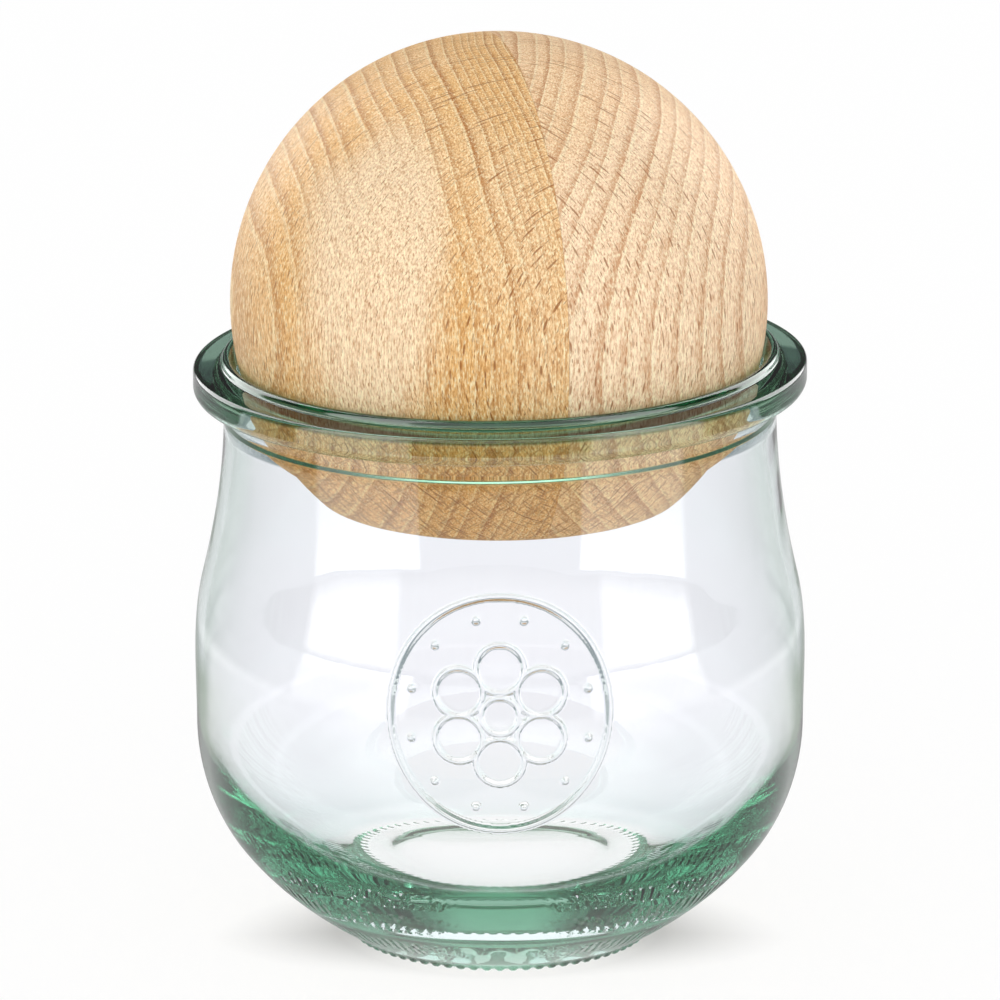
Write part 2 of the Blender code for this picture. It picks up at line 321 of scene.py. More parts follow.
def medallion(across, up):
    """Height of the relief at a place on the wall, in metres from the medallion's middle."""
    far = np.hypot(across, up)
    oval = np.hypot(across / MEDALLION_HALF_WIDTH, up / MEDALLION_HALF_HEIGHT)
    slope = np.hypot(across / MEDALLION_HALF_WIDTH ** 2, up / MEDALLION_HALF_HEIGHT ** 2)
    from_frame = np.abs(oval - 1) * oval / np.maximum(slope, 1.0)
    relief = ridge(from_frame, RIDGE_WIDTH, RIDGE_HEIGHT)
    petals = 1.0
    for k in range(PETAL_COUNT):
        a = 2 * pi * (k + 0.5) / PETAL_COUNT
        along = across * cos(a) + up * sin(a)
        beside = across * sin(a) - up * cos(a)
        petals = np.minimum(petals, np.hypot(along - PETAL_DISTANCE, beside) - PETAL_RADIUS)
    outside_eye = far > EYE_RADIUS + RIDGE_WIDTH / 2
    outline = ridge(np.abs(petals), FLOWER_WIDTH, PETAL_HEIGHT)
    relief = np.maximum(relief, np.where(outside_eye, outline, 0.0))
    relief = np.maximum(relief, ridge(np.abs(far - EYE_RADIUS), FLOWER_WIDTH, EYE_HEIGHT))
    for k in range(DOT_COUNT):
        a = 2 * pi * (k + 0.5) / DOT_COUNT
        dx = across - MEDALLION_HALF_WIDTH * DOT_RING_SHARE * cos(a)
        dy = up - MEDALLION_HALF_HEIGHT * DOT_RING_SHARE * sin(a)
        relief = np.maximum(relief, ridge(np.hypot(dx, dy), 2 * DOT_RADIUS, RIDGE_HEIGHT))
    return relief


class Grid:
    """Vertices and faces of the jar's mesh, collected ring by ring. Angle 0 faces the front."""

    def __init__(self):
        self.verts = []
        self.faces = []

    def point(self, radius, height, angle):
        """A vertex; towards the mouth the wall is slanted, a little higher at +X."""
        across = radius * sin(angle)
        low, high = JAR_HEIGHT - SHOULDER_DROP, JAR_HEIGHT - FINISH_DEPTH
        share = min(1.0, max(0.0, (height - low) / (high - low)))
        lift = across * share * share * (3 - 2 * share) * tan(RIM_SLANT)
        self.verts.append((across, -radius * cos(angle), height + lift))
        return len(self.verts) - 1

    def ring(self, radius, height, count):
        """Points round the axis; on the axis itself they are one and the same."""
        if radius < ON_AXIS:
            return [self.point(0.0, height, 0.0)] * count
        return [self.point(radius, height, 2 * pi * k / count) for k in range(count)]

    def bridge(self, below, above):
        """Faces between two rings of the same count; a ring of one point makes a fan."""
        count = len(below)
        for k in range(count):
            m = (k + 1) % count
            face = [below[k], below[m], above[m], above[k]]
            self.faces.append(list(dict.fromkeys(face)))


def build_glass():
    """The jar's mesh, with ribs on the foot and the medallion on the front."""
    grid = Grid()
    # Foot, with finer columns for the ribs
    rings = []
    for radius, height, depth in foot_outline():
        if radius < ON_AXIS:
            rings.append(grid.ring(radius, height, FOOT_COLUMNS))
            continue
        ring = []
        for k in range(FOOT_COLUMNS):
            angle = 2 * pi * k / FOOT_COLUMNS
            wave = 0.5 - 0.5 * cos(RIB_COUNT * angle)
            valley = max(0.0, (wave - RIB_CREST) / (1 - RIB_CREST)) ** RIB_ROUNDING
            ring.append(grid.point(radius, height + RIB_DEPTH * depth * valley, angle))
        rings.append(ring)
    for below, above in zip(rings, rings[1:]):
        grid.bridge(below, above)
    foot_edge = rings[-1]

    # Outer wall, with finer cells round the medallion
    wall = through(stations(), WALL_ROW / FINE)
    coarse = wall[::FINE]
    if (len(wall) - 1) % FINE:
        coarse = coarse + [wall[-1]]
    half = PATCH_COLUMNS // 2
    reach = MEDALLION_HALF_HEIGHT + RIDGE_WIDTH
    low = next(i for i, p in enumerate(coarse) if p[1] > MEDALLION_HEIGHT - reach) - 1
    high = next(i for i, p in enumerate(coarse) if p[1] > MEDALLION_HEIGHT + reach) + 1
    ids = [[None] * COLUMNS for _ in coarse]
    ids[0] = foot_edge[:: FOOT_COLUMNS // COLUMNS]
    for i in range(1, len(coarse)):
        for k in range(COLUMNS):
            column = (k + half) % COLUMNS - half
            if low < i < high and -half < column < half:
                continue
            ids[i][k] = grid.point(*coarse[i], 2 * pi * k / COLUMNS)
    # The patch's own grid; its border shares the coarse points
    rows = (high - low) * FINE
    cols = PATCH_COLUMNS * FINE
    path = np.array(wall)
    tangent = np.gradient(path, axis=0)
    patch = [[None] * (cols + 1) for _ in range(rows + 1)]
    for i in range(rows + 1):
        radius, height = wall[low * FINE + i]
        lean = tangent[low * FINE + i]
        lean = lean / np.hypot(*lean)
        for j in range(cols + 1):
            on_rim = i in (0, rows) or j in (0, cols)
            if on_rim and i % FINE == 0 and j % FINE == 0:
                patch[i][j] = ids[low + i // FINE][(j // FINE - half) % COLUMNS]
                continue
            angle = 2 * pi * (j / FINE - half) / COLUMNS
            rise = 0.0 if on_rim else float(medallion(radius * angle, height - MEDALLION_HEIGHT))
            patch[i][j] = grid.point(radius + rise * lean[1], height - rise * lean[0], angle)
    for i in range(rows):
        for j in range(cols):
            grid.faces.append([patch[i][j], patch[i][j + 1], patch[i + 1][j + 1], patch[i + 1][j]])
    for i in range(len(coarse) - 1):
        for k in range(COLUMNS):
            column = (k + half) % COLUMNS - half
            if low <= i < high and -half <= column < half:
                continue
            m = (k + 1) % COLUMNS
            face = [ids[i][k], ids[i][m], ids[i + 1][m], ids[i + 1][k]]
            if i == 0:
                step = FOOT_COLUMNS // COLUMNS
                between = [foot_edge[(k * step + s) % FOOT_COLUMNS] for s in range(1, step)]
                face = [ids[i][k]] + between + face[1:]
            elif low <= i < high and column == -half - 1:
                side = [patch[(i - low) * FINE + s][0] for s in range(1, FINE)]
                face = face[:2] + side + face[2:]
            elif low <= i < high and column == half:
                side = [patch[(i - low) * FINE + s][cols] for s in range(1, FINE)]
                face = face + side[::-1]
            elif i == low - 1 and -half <= column < half:
                side = [patch[0][(column + half) * FINE + s] for s in range(1, FINE)]
                face = face[:3] + side[::-1] + face[3:]
            elif i == high and -half <= column < half:
                side = [patch[rows][(column + half) * FINE + s] for s in range(1, FINE)]
                face = face[:1] + side + face[1:]
            grid.faces.append(face)

    # Rim and lining
    last = ids[-1]
    for radius, height in rim_outline() + lining_outline():
        ring = grid.ring(radius, height, COLUMNS)
        grid.bridge(last, ring)
        last = ring
    mesh = bpy.data.meshes.new("jar_glass")
    mesh.from_pydata(grid.verts, [], grid.faces)
    mesh.validate()
    mesh.shade_smooth()
    return add("jar_glass", mesh)


def add(name, mesh):
    """An object in the scene for a mesh."""
    piece = bpy.data.objects.new(name, mesh)
    bpy.context.scene.collection.objects.link(piece)
    return piece


# Mesh of the ball: rows from its top to its edge, steps round each half, rows of its edge and its flat
BALL_ROWS = 90
BALL_STEPS = 160
EDGE_ROWS = 10
FLAT_ROWS = 8
SHARP_ANGLE = radians(60)


def ball_outline():
    """From the top of the ball down over its rounded lower edge to the middle of its flat."""
    flat = -sqrt(BALL_RADIUS ** 2 - BALL_FLAT_RADIUS ** 2)
    edge_height = flat + BALL_EDGE_ROUND
    edge_radius = sqrt((BALL_RADIUS - BALL_EDGE_ROUND) ** 2 - edge_height ** 2)
    meet = atan2(edge_height, edge_radius)
    points = arc((0.0, 0.0), BALL_RADIUS, pi / 2, meet, BALL_ROWS)
    points += arc((edge_radius, edge_height), BALL_EDGE_ROUND, meet, -pi / 2, EDGE_ROWS)[1:]
    points += [(edge_radius * (1 - s / FLAT_ROWS), flat) for s in range(1, FLAT_ROWS + 1)]
    points[0] = (0.0, BALL_RADIUS)
    return points


def build_half(name, side):
    """One half of the ball on its side of the glue plane; side is +1 for right, -1 for left."""
    outward = Vector((cos(GLUE_PLANE), sin(GLUE_PLANE), 0.0)) * side
    along = Vector((0.0, 0.0, 1.0)).cross(outward)
    verts, faces, rings = [], [], []
    for radius, height in ball_outline():
        if radius < ON_AXIS:
            verts.append(outward * GLUE_HALF_GAP + BALL_CENTRE + Vector((0, 0, height)))
            rings.append([len(verts) - 1] * (BALL_STEPS + 1))
            continue
        first = len(verts)
        for k in range(BALL_STEPS + 1):
            a = pi * k / BALL_STEPS
            out = max(GLUE_HALF_GAP, radius * sin(a))
            spot = outward * out - along * radius * cos(a)
            verts.append(spot + BALL_CENTRE + Vector((0, 0, height)))
        rings.append(list(range(first, first + BALL_STEPS + 1)))
    for upper, lower in zip(rings, rings[1:]):
        for k in range(BALL_STEPS):
            face = list(dict.fromkeys([upper[k], lower[k], lower[k + 1], upper[k + 1]]))
            faces.append(face)
    glued = [ring[0] for ring in rings] + [ring[-1] for ring in rings[-2:0:-1]]
    faces.append(list(dict.fromkeys(glued))[::-1])
    mesh = bpy.data.meshes.new(name)
    mesh.from_pydata([tuple(v) for v in verts], [], faces)
    mesh.validate()
    mesh.shade_smooth()
    mesh.set_sharp_from_angle(angle=SHARP_ANGLE)
    return add(name, mesh)


WHITE = (1.0, 1.0, 1.0, 1.0)
BLACK = (0.0, 0.0, 0.0, 1.0)
MM = 1000.0


class Nodes:
    """A short way to write node trees."""

    def __init__(self, tree):
        self.tree = tree
        tree.nodes.clear()

    def __call__(self, kind, inputs=None, **settings):
        """A new node with its settings, and its inputs by name or number, linked or given a value."""
        node = self.tree.nodes.new(kind)
        for key, value in settings.items():
            setattr(node, key, value)
        for key, value in (inputs or {}).items():
            if isinstance(value, bpy.types.NodeSocket):
                self.tree.links.new(value, node.inputs[key])
            else:
                node.inputs[key].default_value = value
        return node

    def math(self, operation, a, b=0.0, c=0.0):
        """A calculation with numbers."""
        return self("ShaderNodeMath", {0: a, 1: b, 2: c}, operation=operation).outputs[0]

    def product(self, first, *others):
        """Numbers multiplied with each other."""
        for other in others:
            first = self.math("MULTIPLY", first, other)
        return first

    def vector(self, operation, a, b):
        """A calculation with vectors."""
        return self("ShaderNodeVectorMath", {0: a, 1: b}, operation=operation).outputs[0]

    def length(self, vector):
        """How long a vector is."""
        return self("ShaderNodeVectorMath", {0: vector}, operation="LENGTH").outputs["Value"]

    def split(self, vector):
        """The three numbers of a vector, or of a colour."""
        return self("ShaderNodeSeparateXYZ", {0: vector}).outputs

    def grey(self, value):
        """A number as a colour."""
        return self("ShaderNodeCombineXYZ", {0: value, 1: value, 2: value}).outputs[0]

    def noise(self, vector, detail=0.0, rough=0.5, scale=1.0, output="Fac"):
        """Smooth noise, as one number or, by the output Color, as three."""
        inputs = {"Vector": vector, "Scale": scale, "Detail": detail, "Roughness": rough}
        return self("ShaderNodeTexNoise", inputs).outputs[output]

    def remap(self, value, low, high, to_low=0.0, to_high=1.0, smooth=False):
        """The value's way from low to high, as a number that goes from to_low to to_high and stays there.

        The ranges named below hold low and high, and those of four numbers to_low and to_high as well.
        """
        return self(
            "ShaderNodeMapRange",
            {"Value": value, "From Min": low, "From Max": high, "To Min": to_low, "To Max": to_high},
            interpolation_type="SMOOTHSTEP" if smooth else "LINEAR",
        ).outputs[0]

    def mix(self, share, a, b, blend="MIX"):
        """Colour a where the share is 0, and b where it is 1."""
        node = self("ShaderNodeMix", {0: share, 6: a, 7: b}, data_type="RGBA", blend_type=blend)
        return node.outputs[2]

    def degrees_round(self, x, y):
        """Degrees round from the front, the same on both sides."""
        angle = self.math("ARCTAN2", self.math("ABSOLUTE", x), self.product(y, -1.0))
        return self.product(angle, 180 / pi)


def srgb(r, g, b):
    """A colour as seen on screen, from 0 to 255, as the linear values that nodes take."""
    linear = [c / 255 / 12.92 if c <= 10 else ((c / 255 + 0.055) / 1.055) ** 2.4 for c in (r, g, b)]
    return (*linear, 1.0)


def new_material(name):
    """A material and its nodes."""
    material = bpy.data.materials.new(name)
    material.use_nodes = True
    return material, Nodes(material.node_tree)


# Glass, in metres, with a tint for the rim's top and a slight swell of its surface
GLASS_IOR = 1.52
GLASS_TINT = (0.143, 0.625, 0.433, 1.0)
GLASS_DENSITY = 24.0
RIM_TINT = (0.085, 0.20, 0.115, 1.0)
RIM_TINT_EDGE = 0.0006
SWELL_SCALE = 60.0
SWELL_DEPTH = 0.0001

# Knurls on the heel: how many round the jar, radians along a metre of height, and the belts that they fill
KNURL_COUNT = 130.0
KNURL_SLANT = 1500.0
KNURL_BELTS = ((0.0040, 0.0075), (0.0105, 0.0155))
KNURL_BELT_EDGE = 0.0008
KNURL_DEPTH = 0.00022
KNURL_PATCHES = 260.0
KNURL_STRENGTH = (0.40, 0.60)
KNURL_ROUND_SIDE = (0.15, 0.50)
KNURL_FRONT_HALF = (-0.004, -0.016)
OUTER_FACE_LEAN = radians(HEEL_HEADING - 10.0)
OUTER_FACE = (-0.019, -0.021)


def glass_material():
    """Soda-lime glass: clear in the wall, green where light travels far through it."""
    material, n = new_material("jar_glass")
    place = n("ShaderNodeTexCoord").outputs["Object"]
    x, y, z = n.split(place)
    swell = n.noise(place, detail=1.0, scale=SWELL_SCALE)
    # Slanted knurls on the front half of the heel, towards both sides, in two belts of its outer face
    angle = n.math("ARCTAN2", x, n.product(y, -1.0))
    slant = n.product(n.math("ABSOLUTE", angle), KNURL_COUNT)
    knurl = n.math("SINE", n.math("MULTIPLY_ADD", z, KNURL_SLANT, slant))
    uneven = n.noise(place, detail=1.0, scale=KNURL_PATCHES)
    knurl = n.product(knurl, n.remap(uneven, *KNURL_STRENGTH))
    belts = 0.0
    for low, high in KNURL_BELTS:
        rise = n.remap(z, low, low + KNURL_BELT_EDGE)
        belts = n.math("ADD", belts, n.product(rise, n.remap(z, high, high - KNURL_BELT_EDGE)))
    radius = n.math("SQRT", n.math("MULTIPLY_ADD", x, x, n.product(y, y)))
    outwards = n.math("MULTIPLY_ADD", radius, -tan(OUTER_FACE_LEAN), z)
    round_side = n.math("ABSOLUTE", n.math("SINE", angle))
    belts = n.product(
        belts,
        n.remap(outwards, *OUTER_FACE),
        n.remap(round_side, *KNURL_ROUND_SIDE, smooth=True),
        n.remap(y, *KNURL_FRONT_HALF),
    )
    height = n.math("MULTIPLY_ADD", swell, SWELL_DEPTH, n.product(knurl, belts, KNURL_DEPTH))
    bump = n("ShaderNodeBump", {"Height": height, "Strength": 1.0, "Distance": 1.0}).outputs[0]
    # The rim's top is seen through much more glass than lies straight below it, so it tints what crosses it
    level = n.math("MULTIPLY_ADD", x, -tan(RIM_SLANT), z)
    ledge = JAR_HEIGHT - BAND_UPPER_DROP
    top = n.remap(level, ledge - RIM_TINT_EDGE, ledge, smooth=True)
    shader = n("ShaderNodeBsdfPrincipled", {
        "Base Color": n.mix(top, WHITE, RIM_TINT), "Roughness": 0.0, "IOR": GLASS_IOR,
        "Transmission Weight": 1.0, "Normal": bump,
    }).outputs[0]
    volume = n("ShaderNodeVolumeAbsorption", {"Color": GLASS_TINT, "Density": GLASS_DENSITY}).outputs[0]
    n("ShaderNodeOutputMaterial", {"Surface": shader, "Volume": volume})
    return material


# Beech, in mm. Growth rings: how they wander, how uneven they are, and what part of a year is dark or pale
WANDER_SCALE = (0.03, 0.03, 0.012)
WANDER = (5.0, 5.0, 0.0)
UNEVEN_PLACE = (0.003, 0.10, 0.002, 3.0)
UNEVEN_YEARS = 1.8
LATE_WOOD = (0.35, 0.94)
LATE_END = (1.0, 0.97)
LATE_POWER = 2.0
YEAR_STRENGTH = (0.0, 1.0, 0.45, 1.0)
EARLY_START = (0.0, 0.03)
EARLY_WOOD = (0.20, 0.05)
END_GRAIN = (0.30, 0.75)
END_GRAIN_ONLY = (0.30, 0.55)
UNDERSIDE = (-0.10, -0.35)

# Flecks: their cells and half sizes round the pith, out from it and along Z, and a shift of their pattern
RAYS = ((1.0, 16.0, 2.6), (0.125, 9.0, 1.25), 5.0)
ARCS = ((1.9, 15.0, 9.0), (0.10, 8.0, 4.5), 13.0)
SMALL_RAYS = ((0.50, 4.0, 1.2), (0.06, 1.9, 0.55), 9.0)
FLECK_EDGE = (1.0, 0.55)
FLECK_STRENGTH = (0.15, 0.75, 0.1, 1.0)

# Fibres, pores, clouds and speckles: how fine they are round the pith, out from it and along Z
FIBRE_PLACE = (3.4, 3.4, 0.30, 2.0)
FIBRE_DARK = (0.45, 0.68, 0.0, 0.50)
FIBRE_PALE = (0.45, 0.30, 0.0, 0.50)
PORE_PLACE = (7.0, 7.0, 1.1, 7.0)
PORES = (0.55, 0.72)
CLOUD_PLACE = (0.05, 0.07, 0.02, 1.0)
CLOUDS = (0.30, 0.60, 0.55, 1.0)
SPECKLE_SCALE = (3.6, 3.6, 0.85)
SPECKLE_DARK = (0.50, 0.66, 0.0, 0.55)
SPECKLE_PALE = (0.48, 0.34, 0.0, 0.70)

# Tool marks that cross on the underside, and the soft edge of the painted sheen and of the darker spot
HATCH_LEANS = (40.0, -50.0)
HATCH_SCALE = (2.3, 0.3, 0.16)
HATCH = (0.54, 0.66)
SPOT_EDGE = (1.60, 1.05)
SPOT_CLOUD = 0.7

# How strongly each shows, and the colours of flecks and early wood from those of the wood
EARLY_SHARE = 0.60
LATE_SHARE = 0.95
SMALL_RAY_SHARE = 0.80
RAY_SHARE = 0.80
PORE_SHARE = 0.30
HATCH_SHARE = 0.45
FLECK_DARKER = (0.62, 0.54, 0.44)
CREAM_PALER = 1.16
CREAM_LIMIT = 0.95
WOOD_ROUGHNESS = (0.3, 0.7, 0.42, 0.56)
WOOD_SPECULAR = 0.25
WOOD_RELIEF = 0.5
WOOD_BUMP = 0.35
WOOD_BUMP_DEPTH = 0.00008


def beech_material(
    name, pith, ring_width, crowd, side_share, pale, warm, line, clear, golden, sheen_hides_lines, arc_share, seed
):
    """Beech: rings round a pith, rays running out from it, and fibres along Z. Sizes in mm.

    crowd: from where to where out from the pith the rings lie closer, and how many more there are.
    side_share: how strong the rings are on upright faces; arc_share: how strong long rays are on top.
    clear: middle and half sizes of a painted sheen, a paler spot where the light falls on the ball; golden:
    of a darker spot that the sheen leaves out; sheen_hides_lines: how much the painted sheen hides the
    lines. seed shifts the patterns.
    """
    material, n = new_material(name)
    place = n("ShaderNodeTexCoord").outputs["Object"]
    mm = n("ShaderNodeVectorMath", {0: place, "Scale": MM}, operation="SCALE").outputs[0]
    wander = n.noise(n.vector("MULTIPLY", mm, WANDER_SCALE), detail=1.0, output="Color")
    shift = n.vector("MULTIPLY", n.vector("SUBTRACT", wander, (0.5, 0.5, 0.5)), WANDER)
    from_pith = n.vector("SUBTRACT", n.vector("ADD", mm, shift), (pith[0], pith[1], 0.0))
    x, y, z = n.split(from_pith)
    radius = n.math("SQRT", n.math("ADD", n.product(x, x), n.product(y, y)))
    # Measured round the pith from the ball's own side, where the angle doesn't jump
    far = hypot(*pith)
    towards = (-pith[0] / far, -pith[1] / far)
    ahead = n.math("ADD", n.product(x, towards[0]), n.product(y, towards[1]))
    beside = n.math("SUBTRACT", n.product(y, towards[0]), n.product(x, towards[1]))
    around = n.product(n.math("ARCTAN2", beside, ahead), far)

    def at(a_scale, r_scale, z_scale, offset):
        """A place in the wood: round the pith, out from it and along Z."""
        return n("ShaderNodeCombineXYZ", {
            0: n.math("MULTIPLY_ADD", around, a_scale, seed + offset),
            1: n.product(radius, r_scale),
            2: n.product(z, z_scale),
        }).outputs[0]

    def flecks(cell, half, offset):
        """Thin plates, one in each cell."""
        spot = at(1 / cell[0], 1 / cell[1], 1 / cell[2], offset)
        cells = n("ShaderNodeTexVoronoi", {"Vector": spot, "Scale": 1.0}).outputs
        off = n.vector("SUBTRACT", spot, cells["Position"])
        away = n.length(n.vector("MULTIPLY", off, tuple(c / h for c, h in zip(cell, half))))
        strength = n.remap(n.split(cells["Color"])[0], *FLECK_STRENGTH)
        return n.product(n.remap(away, *FLECK_EDGE, smooth=True), strength)

    # Growth rings of uneven width: pale at first, darker towards their end, then a sharp step
    uneven = n.noise(at(*UNEVEN_PLACE), detail=1.0)
    turns = n.math("ADD", n.math("DIVIDE", radius, ring_width), n.product(uneven, UNEVEN_YEARS))
    turns = n.math("ADD", turns, n.remap(radius, crowd[0], crowd[1], 0.0, crowd[2], smooth=True))
    phase = n.math("FRACT", turns)
    late = n.product(n.remap(phase, *LATE_WOOD, smooth=True), n.remap(phase, *LATE_END))
    late = n.math("POWER", late, LATE_POWER)
    early = n.product(n.remap(phase, *EARLY_START), n.remap(phase, *EARLY_WOOD, smooth=True))
    year = n("ShaderNodeTexWhiteNoise", {"W": n.math("FLOOR", turns)}, noise_dimensions="1D")
    facing = n.split(n("ShaderNodeTexCoord").outputs["Normal"])[2]
    upright = n.math("ABSOLUTE", facing)
    end_grain = n.remap(upright, *END_GRAIN, side_share, 1.0)
    late = n.product(late, n.remap(year.outputs["Value"], *YEAR_STRENGTH), end_grain)
    early = n.product(early, end_grain)
    rays = flecks(*RAYS)
    arcs = n.product(flecks(*ARCS), n.remap(upright, *END_GRAIN_ONLY, smooth=True))
    small_rays = flecks(*SMALL_RAYS)
    fibre = n.noise(at(*FIBRE_PLACE), detail=3.0, rough=0.65)
    pores = n.remap(n.noise(at(*PORE_PLACE), detail=1.0), *PORES, smooth=True)
    cloud = n.noise(at(*CLOUD_PLACE), detail=2.0)

    def spot(centre, size):
        """1 within a soft-edged ellipsoid of the ball, 0 outside it; its middle and half sizes in mm."""
        off = n.vector("MULTIPLY", n.vector("SUBTRACT", mm, centre), tuple(1 / s for s in size))
        return n.remap(n.math("MULTIPLY_ADD", cloud, SPOT_CLOUD, n.length(off)), *SPOT_EDGE, smooth=True)

    fleck = (*(c * share for c, share in zip(line, FLECK_DARKER)), 1.0)
    cream = (*(min(CREAM_LIMIT, c * CREAM_PALER) for c in pale[:3]), 1.0)
    # Painted sheen: the pale tone in a soft spot where the light falls, with the darker golden spot left
    # out of it
    painted_sheen = spot(*clear)
    gold = n.math("MAXIMUM", n.math("SUBTRACT", 1.0, painted_sheen), spot(*golden))
    colour = n.mix(n.product(gold, n.remap(cloud, *CLOUDS)), pale, warm)
    under = n.remap(facing, *UNDERSIDE, smooth=True)
    hatch = 0.0
    for lean in HATCH_LEANS:
        turned = n("ShaderNodeVectorRotate", {"Vector": mm, "Angle": radians(lean)}, rotation_type="Y_AXIS")
        drawn = n.vector("MULTIPLY", turned.outputs[0], HATCH_SCALE)
        hatch = n.math("MAXIMUM", hatch, n.remap(n.noise(drawn, detail=1.0), *HATCH, smooth=True))
    # The painted sheen hides the lines by its share, except on the underside
    lines = n.math("MAXIMUM", n.math("MULTIPLY_ADD", painted_sheen, -sheen_hides_lines, 1.0), under)
    speckle = n.noise(n.vector("MULTIPLY", mm, SPECKLE_SCALE), detail=2.0, rough=0.6)
    for share, tone in (
        (n.product(early, lines, EARLY_SHARE), cream),
        (n.product(late, lines, LATE_SHARE), line),
        (n.remap(speckle, *SPECKLE_DARK), line),
        (n.remap(speckle, *SPECKLE_PALE), cream),
        (n.remap(fibre, *FIBRE_DARK), line),
        (n.remap(fibre, *FIBRE_PALE), cream),
        (n.product(small_rays, SMALL_RAY_SHARE), fleck),
        (n.product(arcs, lines, n.math("MAXIMUM", under, arc_share)), fleck),
        (n.product(rays, lines, RAY_SHARE), fleck),
        (n.product(pores, PORE_SHARE), fleck),
        (n.product(hatch, under, HATCH_SHARE), fleck),
    ):
        colour = n.mix(share, colour, tone)
    height = n.math("ADD", n.product(rays, -WOOD_RELIEF), n.product(fibre, WOOD_RELIEF))
    bump = n("ShaderNodeBump", {"Height": height, "Strength": WOOD_BUMP, "Distance": WOOD_BUMP_DEPTH})
    shader = n("ShaderNodeBsdfPrincipled", {
        "Base Color": colour, "Roughness": n.remap(fibre, *WOOD_ROUGHNESS),
        "Normal": bump.outputs[0], "Specular IOR Level": WOOD_SPECULAR,
    }).outputs[0]
    n("ShaderNodeOutputMaterial", {"Surface": shader})
    return material


glass = build_glass()
glass.data.materials.append(glass_material())
left = build_half("ball_left", -1)
left.data.materials.append(beech_material(
    "beech_left",
    pith=(100.0, 12.0), ring_width=2.9, crowd=(98.0, 112.0, 4.0), side_share=0.55,
    pale=srgb(252, 226, 189), warm=srgb(236, 188, 121), line=srgb(170, 106, 42),
    # Painted sheen high on the front left, where it hides most of the lines
    clear=((-21.5, -34.0, 126.0), (14.0, 26.0, 29.0)), golden=((0.0, -47.0, 112.0), (9.0, 15.0, 16.0)),
    sheen_hides_lines=0.80, arc_share=0.50, seed=0.0,
))
right = build_half("ball_right", 1)
right.data.materials.append(beech_material(
    "beech_right",
    pith=(-50.0, -6.0), ring_width=3.1, crowd=(80.0, 92.0, 1.0), side_share=0.8,
    pale=srgb(251, 225, 191), warm=srgb(244, 209, 165), line=srgb(184, 124, 74),
    # Painted sheen high on the front right, where the lines stay
    clear=((25.0, -32.0, 122.0), (30.0, 30.0, 34.0)), golden=((0.0, -47.0, 104.0), (12.0, 15.0, 14.0)),
    sheen_hides_lines=0.0, arc_share=0.30, seed=40.0,
))
for piece, body, node, slot in (
    (glass, "jar", "glass_jar", "jar_glass"),
    (left, "ball_lid", "ball_left_half", "beech_left"),
    (right, "ball_lid", "ball_right_half", "beech_right"),
):
    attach(piece, body)
    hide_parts(node)


# Floor, and its shadow: start and reach in mm, darkness, and its ranges by how far to the back it lies
FLOOR_SIZE = 8.0
FLOOR_DROP = 0.00005
FLOOR_MATTE = (0.12, 0.12, 0.12, 1.0)
FLOOR_WHITE = 0.885
SHADOW_START = 30.0
SHADOW_REACH = 24.0
SHADOW_DEPTH = 0.019
SHADOW_POWER = 1.5
SHADOW_FRONT = (-1.05, -0.15, 0.1, 1.0)
SHADOW_REAR = (-0.15, 0.5, 1.0, 0.4)

# Floor seen straight through the glass, with its ranges in metres from the axis or from the middle plane
FLOOR_UNDER_JAR = (1.35, 1.15, 1.25, 1.0)
FLOOR_THROUGH_GLASS = (1.04, 1.00, 1.08, 1.0)
FLOOR_THROUGH_SIDES = (0.46, 0.49, 0.53, 1.0)
FLOOR_THROUGH_NECK = (0.68, 0.70, 0.74, 1.0)
FLOOR_THROUGH_EDGES = (0.96, 0.98, 1.02, 1.0)
FLOOR_BEYOND_RIM = (0.28, 0.32, 0.36, 1.0)
UNDER_JAR = (0.034, 0.026)
BESIDE_JAR = (0.075, 0.11)
BELLY_EDGE = (0.226, 0.232)
NECK_SIDE = (0.258, 0.268)
NECK_EDGE = (0.276, 0.290)
BEYOND_RIM = (0.35, 0.40)

# Floor seen by way of mirroring inside the glass, with its ranges in metres or in degrees round
FLOOR_IN_BELLY = (0.34, 0.42, 0.40, 1.0)
FLOOR_IN_NECK = (1.10, 1.10, 1.15, 1.0)
FLOOR_IN_BASE = (0.42, 0.58, 0.50, 1.0)
FLOOR_IN_FOOT = (0.24, 0.38, 0.31, 1.0)
FLOOR_IN_BASE_FRONT = (1.55, 1.30, 1.50, 1.0)
FLOOR_IN_RIM = (0.13, 0.21, 0.13, 1.0)
FLOOR_IN_RIM_ENDS = (0.04, 0.15, 0.07, 1.0)
BELLY_REAR = (154.0, 142.0)
BELLY_SIDE = (134.0, 128.0)
NECK_RAY_LENGTH = (0.255, 0.28)
NEAR_JAR = (0.26, 0.21)
IN_FOOT = (0.11, 0.09)
IN_BASE_FRONT = (0.042, 0.034)
IN_BASE = (0.060, 0.040)
IN_RIM_ENDS = (0.14, 0.24)

# Floor mirrored by the outside of the glass: a table, and beyond its edge the lower ends of light panels
TABLE_MIRRORED = 1.6
TABLE_GAP = 0.25
TABLE_REAR = 0.60
TABLE_FAR = 0.80
TABLE_TURN = (125.0, 145.0)
TABLE_EDGE = (0.24, 0.30)
REAR_TURN = (100.0, 125.0)
REAR_END = (0.50, 0.42)
FAR_TURN = (118.0, 128.0)
FAR_START = (0.40, 0.43)
NEAR_FOOT = (0.05, 0.17)
NEAR_FOOT_TURN = (30.0, 60.0)
NEAR_FOOT_FRONT = 0.65
NEAR_FOOT_SIDES = 0.28
LOW_PANEL_START = (31.0, 33.0)
LOW_PANEL_END = (79.0, 75.0)
LOW_PANEL_LEVEL = (0.46, 1.6, 2.2, 4.7)

